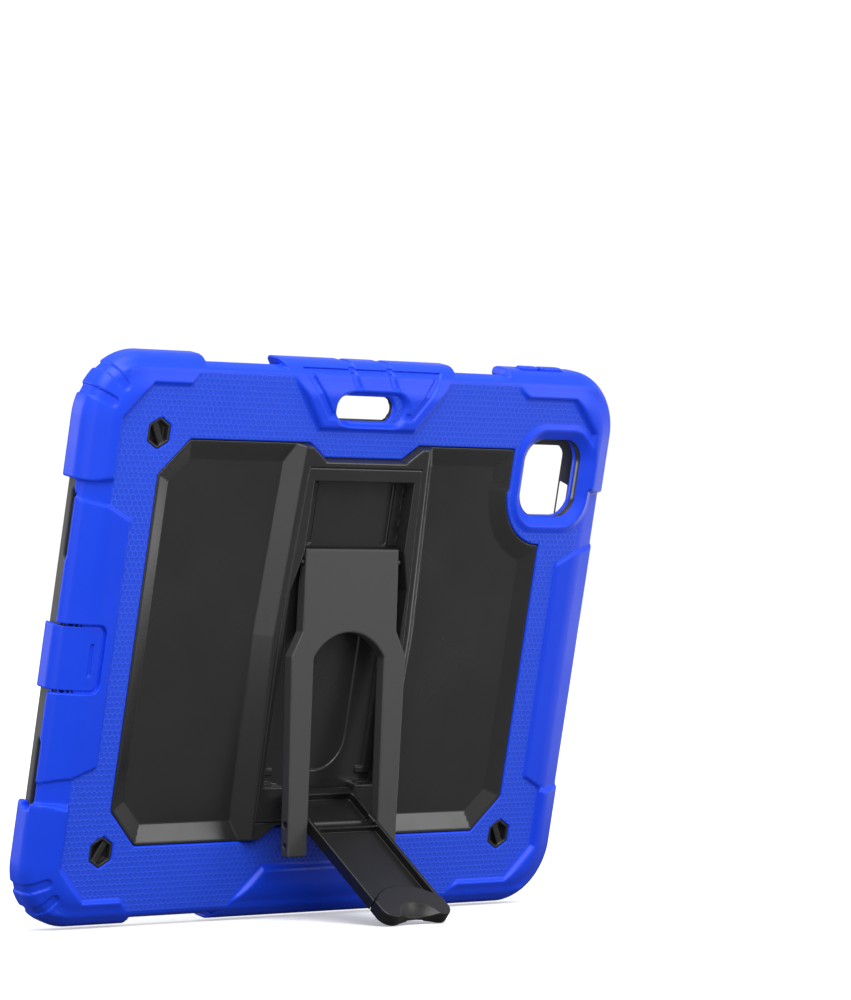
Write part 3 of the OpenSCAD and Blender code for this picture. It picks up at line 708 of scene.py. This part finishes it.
# moulded surface: fine grain for the bump, and slow variation for colour and gloss
grainGroup, grainIn, grainOut = newGroup(
    "mouldedGrain",
    [("Vector", "NodeSocketVector", None), ("Grain Scale", "NodeSocketFloat", 2200.0),
     ("Patch Scale", "NodeSocketFloat", 24.0)],
    [("Height", "NodeSocketFloat"), ("Patches", "NodeSocketFloat")])
fineNoise = addNode(grainGroup, "ShaderNodeTexNoise", {
    "Vector": grainIn.outputs["Vector"], "Scale": grainIn.outputs["Grain Scale"],
    "Detail": 3.0, "Roughness": 0.6})
slowNoise = addNode(grainGroup, "ShaderNodeTexNoise", {
    "Vector": grainIn.outputs["Vector"], "Scale": grainIn.outputs["Patch Scale"],
    "Detail": 4.0, "Roughness": 0.55})
grainGroup.links.new(fineNoise.outputs["Fac"], grainOut.inputs["Height"])
grainGroup.links.new(slowNoise.outputs["Fac"], grainOut.inputs["Patches"])

# worn edges: lighter where the surface turns sharply
wearGroup, wearIn, wearOut = newGroup(
    "edgeWear",
    [("Vector", "NodeSocketVector", None), ("Start", "NodeSocketFloat", 0.52),
     ("Amount", "NodeSocketFloat", 0.5)],
    [("Mask", "NodeSocketFloat")])
geometryNode = addNode(wearGroup, "ShaderNodeNewGeometry")
edgeMask = stepNode(wearGroup, geometryNode.outputs["Pointiness"], wearIn.outputs["Start"],
                    mathNode(wearGroup, "ADD", wearIn.outputs["Start"], 0.1))
breakUp = addNode(wearGroup, "ShaderNodeTexNoise", {
    "Vector": wearIn.outputs["Vector"], "Scale": 140.0, "Detail": 4.0})
patchMask = stepNode(wearGroup, breakUp.outputs["Fac"], 0.35, 0.65)
edgeMask = mathNode(wearGroup, "MULTIPLY", edgeMask, patchMask)
edgeMask = mathNode(wearGroup, "MULTIPLY", edgeMask, wearIn.outputs["Amount"])
wearGroup.links.new(edgeMask, wearOut.inputs["Mask"])

# honeycomb on the level part of the back, from the case's own coordinates in metres
hexGroup, hexIn, hexOut = newGroup(
    "honeycomb",
    [("Vector", "NodeSocketVector", None), ("Facing", "NodeSocketVector", None),
     ("Pitch", "NodeSocketFloat", 0.0036), ("Line", "NodeSocketFloat", 0.0004)],
    [("Height", "NodeSocketFloat"), ("Level", "NodeSocketFloat")])
flatVector = vectorNode(hexGroup, "MULTIPLY", hexIn.outputs["Vector"], (1, 1, 0)).outputs[0]
tall = mathNode(hexGroup, "MULTIPLY", hexIn.outputs["Pitch"], sqrt(3))
tile = addNode(hexGroup, "ShaderNodeCombineXYZ", {
    "X": hexIn.outputs["Pitch"], "Y": tall, "Z": 1.0}).outputs[0]
halfTile = vectorNode(hexGroup, "SCALE", tile)
halfTile.inputs["Scale"].default_value = 0.5
halfTile = halfTile.outputs[0]
lowTile = vectorNode(hexGroup, "MULTIPLY", halfTile, (-1, -1, -1)).outputs[0]
first = vectorNode(hexGroup, "WRAP", flatVector, halfTile, lowTile).outputs[0]
shiftedVector = vectorNode(hexGroup, "ADD", flatVector, halfTile).outputs[0]
second = vectorNode(hexGroup, "WRAP", shiftedVector, halfTile, lowTile).outputs[0]
first = vectorNode(hexGroup, "MULTIPLY", first, (1, 1, 0)).outputs[0]
second = vectorNode(hexGroup, "MULTIPLY", second, (1, 1, 0)).outputs[0]
nearer = mathNode(hexGroup, "LESS_THAN", vectorNode(hexGroup, "LENGTH", second).outputs["Value"],
                  vectorNode(hexGroup, "LENGTH", first).outputs["Value"])
chosen = addNode(hexGroup, "ShaderNodeMix", {0: nearer, 4: first, 5: second},
                 data_type="VECTOR").outputs[1]
chosen = vectorNode(hexGroup, "ABSOLUTE", chosen).outputs[0]
parts = addNode(hexGroup, "ShaderNodeSeparateXYZ", {0: chosen})
slanted = mathNode(hexGroup, "ADD", mathNode(hexGroup, "MULTIPLY", parts.outputs["X"], 0.5),
                   mathNode(hexGroup, "MULTIPLY", parts.outputs["Y"], sixtySine))
rimDistance = mathNode(hexGroup, "SUBTRACT", mathNode(hexGroup, "MULTIPLY", hexIn.outputs["Pitch"], 0.5),
                       mathNode(hexGroup, "MAXIMUM", parts.outputs["X"], slanted))
hexHeight = stepNode(hexGroup, rimDistance, 0.0, hexIn.outputs["Line"])
levelParts = addNode(hexGroup, "ShaderNodeSeparateXYZ", {0: hexIn.outputs["Vector"]})
offLevel = mathNode(hexGroup, "ABSOLUTE", levelParts.outputs["Z"])
level = stepNode(hexGroup, offLevel, 0.00004, 0.0002, 1.0, 0.0)
facing = addNode(hexGroup, "ShaderNodeSeparateXYZ", {0: hexIn.outputs["Facing"]})
level = mathNode(hexGroup, "MULTIPLY", level, stepNode(hexGroup, facing.outputs["Z"], 0.985, 0.997))
hexGroup.links.new(hexHeight, hexOut.inputs["Height"])
hexGroup.links.new(level, hexOut.inputs["Level"])

# ---- materials ----
finishes = {
    "blueRubber": {
        "colour": (0.005, 0.056, 0.81), "second": (0.007, 0.066, 0.89), "worn": (0.04, 0.15, 1.0),
        "roughness": (0.36, 0.46), "grain": 2600.0, "bump": 0.05, "wear": 0.3, "specular": 0.32,
        "honeycomb": {"pitch": 0.0024, "line": 0.00032, "bump": 0.8,
                      # the paler level-back colour is partly the honeycomb's own tone and partly painted sheen
                      # the paler line colour is a painted highlight on the raised ridges
                      "levelToneAndSheen": (0.024, 0.085, 0.76, 1), "ridgeHighlightColour": (0.07, 0.19, 0.98, 1)},
    },
    "glossShell": {
        "colour": (0.019, 0.019, 0.019), "second": (0.025, 0.025, 0.025), "worn": (0.08, 0.08, 0.08),
        "roughness": (0.2, 0.28), "grain": 3000.0, "bump": 0.03, "wear": 0.3, "specular": 0.5,
    },
    "standPlastic": {
        "colour": (0.006, 0.006, 0.006), "second": (0.010, 0.010, 0.010), "worn": (0.05, 0.05, 0.05),
        "roughness": (0.3, 0.42), "grain": 2400.0, "bump": 0.10, "wear": 0.35, "specular": 0.45,
    },
    "legPlastic": {
        "colour": (0.044, 0.044, 0.045), "second": (0.056, 0.056, 0.057), "worn": (0.14, 0.14, 0.14),
        "roughness": (0.42, 0.52), "grain": 2000.0, "bump": 0.10, "wear": 0.3, "specular": 0.4,
    },
    "mattFrame": {
        "colour": (0.070, 0.070, 0.070), "second": (0.088, 0.088, 0.088), "worn": (0.2, 0.2, 0.2),
        "roughness": (0.5, 0.62), "grain": 2000.0, "bump": 0.12, "wear": 0.3, "specular": 0.4,
    },
    "pinSteel": {
        "colour": (0.05, 0.05, 0.052), "second": (0.08, 0.08, 0.082), "worn": (0.2, 0.2, 0.2),
        "roughness": (0.4, 0.5), "grain": 1800.0, "bump": 0.05, "wear": 0.5, "specular": 0.5, "metal": 1.0,
    },
}


def makeMaterial(name, finish):
    material = bpy.data.materials.new(name)
    material.use_nodes = True
    tree = material.node_tree
    shader = tree.nodes["Principled BSDF"]
    places = addNode(tree, "ShaderNodeTexCoord")
    spot = places.outputs["Object"]
    grain = addNode(tree, "ShaderNodeGroup", node_tree=grainGroup)
    grain.inputs["Grain Scale"].default_value = finish["grain"]
    wear = addNode(tree, "ShaderNodeGroup", node_tree=wearGroup)
    wear.inputs["Amount"].default_value = finish["wear"]
    for group in (grain, wear):
        tree.links.new(spot, group.inputs["Vector"])
    colour = mixColour(tree, grain.outputs["Patches"], (*finish["colour"], 1), (*finish["second"], 1))
    height = mathNode(tree, "MULTIPLY", grain.outputs["Height"], finish["bump"])
    pattern = finish.get("honeycomb")
    if pattern:
        cells = addNode(tree, "ShaderNodeGroup", node_tree=hexGroup)
        tree.links.new(spot, cells.inputs["Vector"])
        tree.links.new(places.outputs["Normal"], cells.inputs["Facing"])
        cells.inputs["Pitch"].default_value = pattern["pitch"]
        cells.inputs["Line"].default_value = pattern["line"]
        lines = mathNode(tree, "SUBTRACT", 1.0, cells.outputs["Height"])
        lines = mathNode(tree, "MULTIPLY", lines, cells.outputs["Level"])
        height = mathNode(tree, "ADD", height, mathNode(tree, "MULTIPLY", lines, pattern["bump"]))
        # the level back is mixed towards a paler blue: partly the honeycomb's own tone, partly painted sheen of a
        # soft reflection on the flat back
        levelToneAndSheenShare = mathNode(tree, "MULTIPLY", cells.outputs["Level"], 0.6)
        toneAndSheenColour = mixColour(tree, levelToneAndSheenShare, colour, pattern["levelToneAndSheen"])
        # the ridge lines are mixed towards a paler blue: a painted highlight on the raised ridges
        ridgeHighlightShare = mathNode(tree, "MULTIPLY", lines, 0.32)
        colour = mixColour(tree, ridgeHighlightShare, toneAndSheenColour, pattern["ridgeHighlightColour"])
    colour = mixColour(tree, wear.outputs["Mask"], colour, (*finish["worn"], 1))
    tree.links.new(colour, shader.inputs["Base Color"])
    gloss = stepNode(tree, grain.outputs["Patches"], 0.3, 0.7, *finish["roughness"])
    tree.links.new(gloss, shader.inputs["Roughness"])
    bump = addNode(tree, "ShaderNodeBump", {"Height": height, "Strength": 0.6, "Distance": 0.0003})
    tree.links.new(bump.outputs["Normal"], shader.inputs["Normal"])
    shader.inputs["Metallic"].default_value = finish.get("metal", 0.0)
    shader.inputs["Specular IOR Level"].default_value = finish["specular"]
    return material


finishes["smoothRubber"] = {
    key: value for key, value in finishes["blueRubber"].items() if key != "honeycomb"}
materials = {name: makeMaterial(name, finish) for name, finish in finishes.items()}
print("materials made")

# ---- what each piece is made of, rides on and stands for ----
pieces = [
    (rubberSkin, "case", "blueRubber", "blue_rubber", ("rubber_skin",)),
    (portFlap, "flap", "smoothRubber", "blue_rubber", ("port_flap",)),
    (buttonPieces[0], "volume_down", "smoothRubber", "blue_rubber", ("volume_down_button",)),
    (buttonPieces[1], "volume_up", "smoothRubber", "blue_rubber", ("volume_up_button",)),
    (rearShell, "case", "glossShell", "gloss_shell", ("rear_shell",)),
    (frontFrame, "case", "mattFrame", "matt_frame", ("front_frame", "side_band")),
    (standChannel, "case", "glossShell", "stand_plastic", ("stand_channel",)),
    (standLeg, "leg", "legPlastic", "leg_plastic", ("stand_leg",)),
    (footPlate, "foot", "standPlastic", "stand_plastic", ("foot_plate",)),
    (footTip, "foot", "standPlastic", "stand_plastic", ("foot_tip",)),
    (anchorPieces[0], "case", "glossShell", "gloss_shell", ("strap_anchor_top",)),
    (anchorPieces[1], "case", "glossShell", "gloss_shell", ("strap_anchor_bottom_left",)),
    (anchorPieces[2], "case", "glossShell", "gloss_shell", ("strap_anchor_bottom_right",)),
]
for piece, body, finish, slot, nodes in pieces:
    piece.data.materials.append(materials[finish])
    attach(piece, body)
    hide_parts(*nodes)

# the steel pins, rails and click strips keep their CAD shapes
slotFinish = {"pin_steel": "pinSteel", "stand_plastic": "standPlastic", "gloss_shell": "glossShell",
              "blue_rubber": "blueRubber", "matt_frame": "mattFrame", "leg_plastic": "legPlastic"}
for row in frame["record"]["subparts"]:
    for holder in frame["nodes"][row["node"]].material_slots:
        holder.material = materials[slotFinish[row["material_slot"]]]

# ---- floor ----
floorMaterial = bpy.data.materials.new("paleFloor")
floorMaterial.use_nodes = True
floorTree = floorMaterial.node_tree
floorShader = floorTree.nodes["Principled BSDF"]
floorShader.inputs["Roughness"].default_value = 0.9
floorShader.inputs["Specular IOR Level"].default_value = 0.1
floorShader.inputs["Emission Color"].default_value = (1, 1, 1, 1)
seen = addNode(floorTree, "ShaderNodeLightPath").outputs["Is Camera Ray"]
floorColour = mixColour(floorTree, seen, stage["floorReflected"], stage["floorSeen"])
floorTree.links.new(floorColour, floorShader.inputs["Base Color"])
floorPlaces = addNode(floorTree, "ShaderNodeTexCoord")
floorSpot = addNode(floorTree, "ShaderNodeSeparateXYZ", {0: floorPlaces.outputs["Object"]})
# two pale cards lie on the floor; only the case's reflections and shading see them
rightPatch = mathNode(floorTree, "MULTIPLY", stepNode(floorTree, floorSpot.outputs["X"], 0.3, 0.5),
                      stepNode(floorTree, floorSpot.outputs["Y"], -0.3, -0.12))
leftPatch = mathNode(floorTree, "MULTIPLY", stepNode(floorTree, floorSpot.outputs["X"], -0.14, -0.26),
                     stepNode(floorTree, floorSpot.outputs["Y"], -0.12, -0.26))
leftPatch = mathNode(floorTree, "MULTIPLY", leftPatch, stage["leftCardShare"])
patches = mathNode(floorTree, "ADD", rightPatch, leftPatch)
glow = mathNode(floorTree, "MULTIPLY", patches, stage["cardGlow"])
glow = addNode(floorTree, "ShaderNodeMix", {0: seen, 2: glow, 3: stage["floorGlow"]},
               data_type="FLOAT").outputs[0]
floorTree.links.new(glow, floorShader.inputs["Emission Strength"])
half = stage["floorSize"] / 2
floorMesh = bpy.data.meshes.new("paleFloor")
floorCorners = [(-half, -half, 0), (half, -half, 0), (half, half, 0), (-half, half, 0)]
floorMesh.from_pydata(floorCorners, [], [(0, 1, 2, 3)])
floorMesh.materials.append(floorMaterial)
floor = bpy.data.objects.new("paleFloor", floorMesh)
scene.collection.objects.link(floor)

print("scene done")
